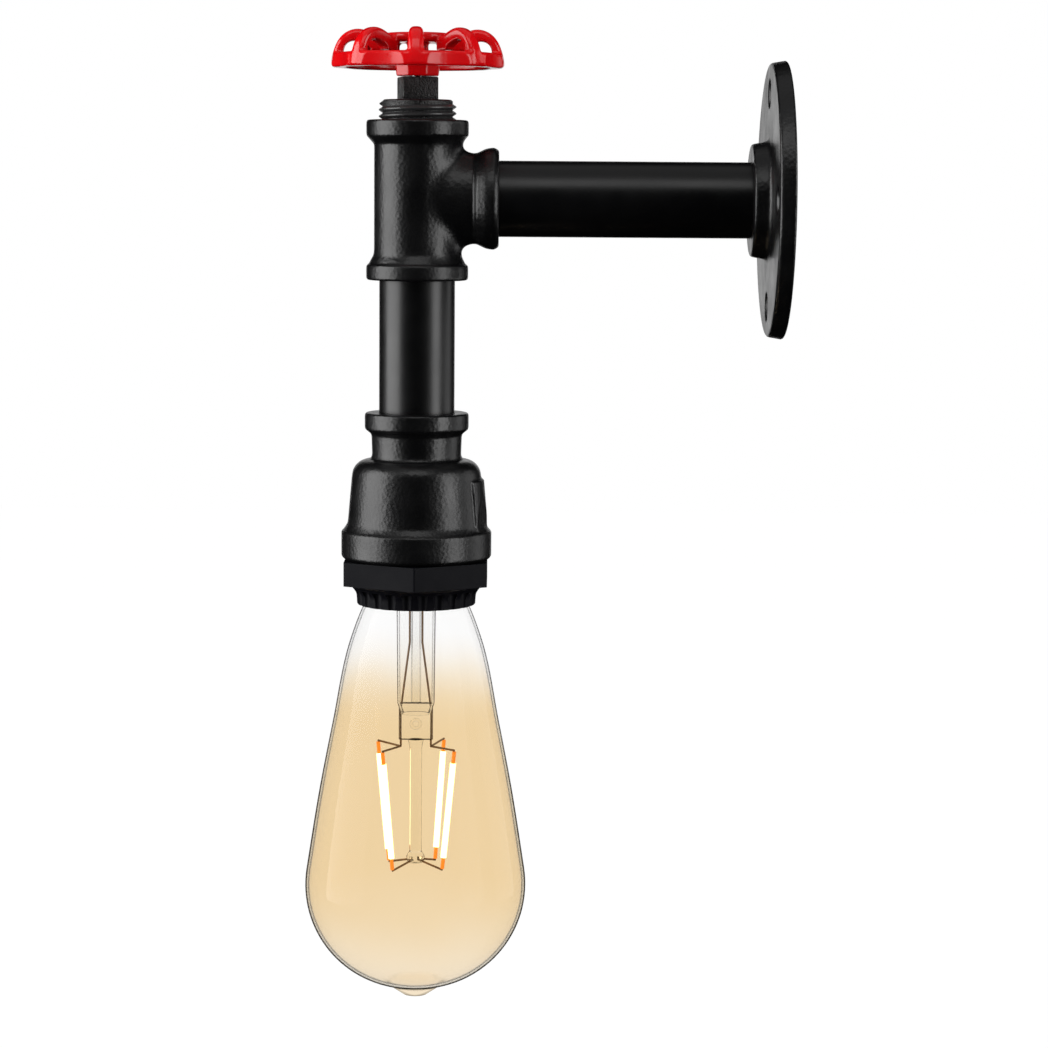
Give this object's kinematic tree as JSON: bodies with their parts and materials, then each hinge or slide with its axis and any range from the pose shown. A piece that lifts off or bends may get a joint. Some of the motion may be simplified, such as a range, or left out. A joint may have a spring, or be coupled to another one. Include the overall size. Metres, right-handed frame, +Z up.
{
  "type": "industrial pipe wall light",
  "caption": "Black iron pipe wall light: round wall flange, short arm, tee with a red handwheel on top, drop pipe, reducing socket and a hanging filament bulb.",
  "frame": {"origin": "centre of the wall flange's back face, on the wall plane and on the arm's axis", "axes": "+X into the wall, +Z up; the arm runs along -X and the lamp hangs down along -Z"},
  "size_m": [0.1346, 0.0778, 0.2762],
  "materials": {
    "black_iron": "satin black paint over fine cast skin",
    "black_pipe": "satin black paint on smooth steel tube",
    "plug_iron": "matt black, grainy as cast",
    "red_enamel": "glossy red enamel",
    "plated_steel": "zinc plated",
    "black_plastic": "matt moulded black",
    "steatite": "unglazed pressed ceramic",
    "nickelled_brass": "thin bright nickel",
    "brass": "bright stamped brass",
    "tinned_copper": "tinned",
    "brown_sleeve": "extruded insulation",
    "blue_sleeve": "extruded insulation",
    "green_sleeve": "extruded insulation, green and yellow",
    "amber_glass": "blown glass with a thin amber coating",
    "black_glass": "black insulating glass",
    "clear_glass": "clear lead glass",
    "support_wire": "drawn wire",
    "lit_filament": "phosphor coating, lit warm white",
    "filament_end": "bare metal end glowing orange",
    "circuit_board": "board with soldered parts",
    "capacitor_sleeve": "shrunk sleeve"
  },
  "bodies": {
    "fitting": {"wall_flange": "black_iron", "arm_pipe": "black_pipe", "tee": "black_iron", "drop_pipe": "black_pipe", "reducing_socket": "black_iron", "square_head_plug": "plug_iron", "wheel_screw": "plated_steel", "holder_body": "black_plastic", "holder_core": "steatite", "screw_shell": "nickelled_brass", "shell_rivets": "brass", "centre_contact": "brass", "side_contact": "brass", "terminal_screws": "plated_steel", "earth_tag": "tinned_copper", "earth_screw": "brass", "live_lead": "brown_sleeve", "neutral_lead": "blue_sleeve", "earth_lead": "green_sleeve", "lead_ferrules": "tinned_copper"},
    "wheel": {"handwheel": "red_enamel"},
    "lamp": {"bulb_glass": "amber_glass", "bulb_cap": "nickelled_brass", "cap_insulator": "black_glass", "cap_contact": "tinned_copper", "glass_stem": "clear_glass", "centre_rod": "clear_glass", "feed_wires": "support_wire", "upper_supports": "support_wire", "lower_supports": "support_wire", "filaments": "lit_filament", "filament_tips": "filament_end", "driver_board": "circuit_board", "driver_capacitor": "capacitor_sleeve"}
  },
  "joints": [
    {"name": "wheel_turn", "type": "hinge", "parent": "fitting", "child": "wheel", "pos_m": [-0.103, 0, 0.04], "axis": [0, 0, 1], "continuous": true},
    {"name": "lamp_out", "type": "slide", "parent": "fitting", "child": "lamp", "axis": [0, 0, -1], "range_m": [0, 0.03]}
  ]
}
